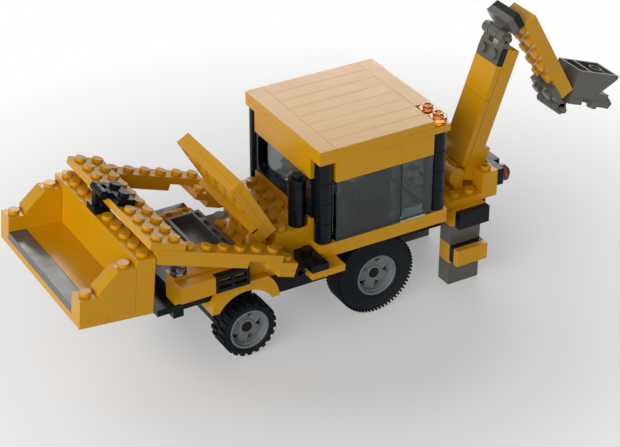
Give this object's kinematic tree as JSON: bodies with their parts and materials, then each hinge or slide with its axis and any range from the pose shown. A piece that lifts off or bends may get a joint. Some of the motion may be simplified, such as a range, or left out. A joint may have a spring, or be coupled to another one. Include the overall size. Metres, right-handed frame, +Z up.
{
  "type": "brick-built toy backhoe loader",
  "caption": "Toy backhoe loader built from studded construction bricks, with a front loader bucket on lifting arms, an opening hood, a cab on posts and a hinged digger arm at the rear.",
  "frame": {"origin": "middle of the bounding box's bottom face, on the ground between the wheels", "axes": "+X towards the rear digger, +Y to the machine's right-hand side, +Z up"},
  "size_m": [0.2796, 0.08, 0.1225],
  "materials": {
    "yellow_plastic": "glossy moulded plastic",
    "black_plastic": "glossy moulded plastic",
    "dark_grey_plastic": "glossy moulded plastic",
    "light_grey_plastic": "glossy moulded plastic",
    "rim_plastic": "glossy moulded plastic",
    "tyre_rubber": "matt rubber",
    "clear_plastic": "clear transparent plastic",
    "orange_clear_plastic": "transparent orange plastic",
    "red_clear_plastic": "transparent red plastic",
    "smoke_clear_plastic": "dark transparent plastic"
  },
  "bodies": {
    "machine": {"chassis_frame": "black_plastic", "nose_plate": "dark_grey_plastic", "engine_tray": "black_plastic", "axles": "black_plastic", "side_bricks": "yellow_plastic", "grille_tiles": "black_plastic", "head_lamps": "smoke_clear_plastic", "front_mudguards": "yellow_plastic", "front_deck": "yellow_plastic", "corner_plate": "light_grey_plastic", "exhaust_stack": "black_plastic", "hood_hinge_pins": "yellow_plastic", "cab_base": "yellow_plastic", "cab_posts": "black_plastic", "cab_roof": "yellow_plastic", "roof_tiles": "yellow_plastic", "beacons": "orange_clear_plastic", "window_frames": "black_plastic", "cab_glass": "clear_plastic", "cab_panels": "clear_plastic", "cab_floor": "black_plastic", "seat": "dark_grey_plastic", "steering_column": "black_plastic", "arm_hinge_plates": "black_plastic", "rear_deck": "yellow_plastic", "end_bricks": "yellow_plastic", "tail_plate": "light_grey_plastic", "tail_tile": "black_plastic", "tail_lamps": "red_clear_plastic", "leg_yellow": "yellow_plastic", "leg_grey": "dark_grey_plastic", "leg_black": "black_plastic", "boom_base": "yellow_plastic"},
    "loader_arms": {"loader_arms": "yellow_plastic", "arm_hinge_ends": "black_plastic", "bucket_hinge_plate": "black_plastic"},
    "loader_bucket": {"bucket_body": "yellow_plastic", "bucket_lip": "dark_grey_plastic", "bucket_hinge_post": "black_plastic"},
    "hood": {"hood": "yellow_plastic"},
    "boom": {"boom": "yellow_plastic", "boom_tiles": "yellow_plastic", "boom_hinge_plate": "dark_grey_plastic"},
    "stick": {"stick": "yellow_plastic", "stick_link_plate": "black_plastic", "stick_hinges": "dark_grey_plastic"},
    "digger_bucket": {"digger_bucket": "dark_grey_plastic", "digger_hinge_plate": "dark_grey_plastic", "digger_teeth": "dark_grey_plastic"},
    "front_left_wheel": {"front_left_rim": "rim_plastic", "front_left_tyre": "tyre_rubber"},
    "front_right_wheel": {"front_right_rim": "rim_plastic", "front_right_tyre": "tyre_rubber"},
    "rear_left_wheel": {"rear_left_rim": "rim_plastic", "rear_left_tyre": "tyre_rubber"},
    "rear_right_wheel": {"rear_right_rim": "rim_plastic", "rear_right_tyre": "tyre_rubber"}
  },
  "joints": [
    {"name": "front_left_wheel_spin", "type": "hinge", "parent": "machine", "child": "front_left_wheel", "pos_m": [-0.05817, -0.0225, 0.01285], "axis": [0, 1, 0], "continuous": true},
    {"name": "front_right_wheel_spin", "type": "hinge", "parent": "machine", "child": "front_right_wheel", "pos_m": [-0.05817, 0.0225, 0.01285], "axis": [0, 1, 0], "continuous": true},
    {"name": "rear_left_wheel_spin", "type": "hinge", "parent": "machine", "child": "rear_left_wheel", "pos_m": [0.00563, -0.0202, 0.019], "axis": [0, 1, 0], "continuous": true},
    {"name": "rear_right_wheel_spin", "type": "hinge", "parent": "machine", "child": "rear_right_wheel", "pos_m": [0.00563, 0.0202, 0.019], "axis": [0, 1, 0], "continuous": true},
    {"name": "loader_lift", "type": "hinge", "parent": "machine", "child": "loader_arms", "pos_m": [-0.03927, 0, 0.0415], "axis": [0, 1, 0], "range_deg": [-26, 12]},
    {"name": "loader_tilt", "type": "hinge", "parent": "loader_arms", "child": "loader_bucket", "pos_m": [-0.10962, 0.004, 0.08006], "axis": [0, 1, 0], "range_deg": [-2, 60]},
    {"name": "hood_open", "type": "hinge", "parent": "machine", "child": "hood", "pos_m": [-0.04707, 0, 0.049], "axis": [0, 1, 0], "range_deg": [-59, 4]},
    {"name": "boom_swing", "type": "hinge", "parent": "machine", "child": "boom", "pos_m": [0.05303, -0.008, 0.0496], "axis": [0, 1, 0], "range_deg": [-18, 6]},
    {"name": "stick_swing", "type": "hinge", "parent": "boom", "child": "stick", "pos_m": [0.07572, -0.008, 0.11179], "axis": [0, 1, 0], "range_deg": [-40, 8]},
    {"name": "digger_curl", "type": "hinge", "parent": "stick", "child": "digger_bucket", "pos_m": [0.10853, -0.008, 0.06901], "axis": [0, 1, 0], "range_deg": [0, 70]}
  ]
}
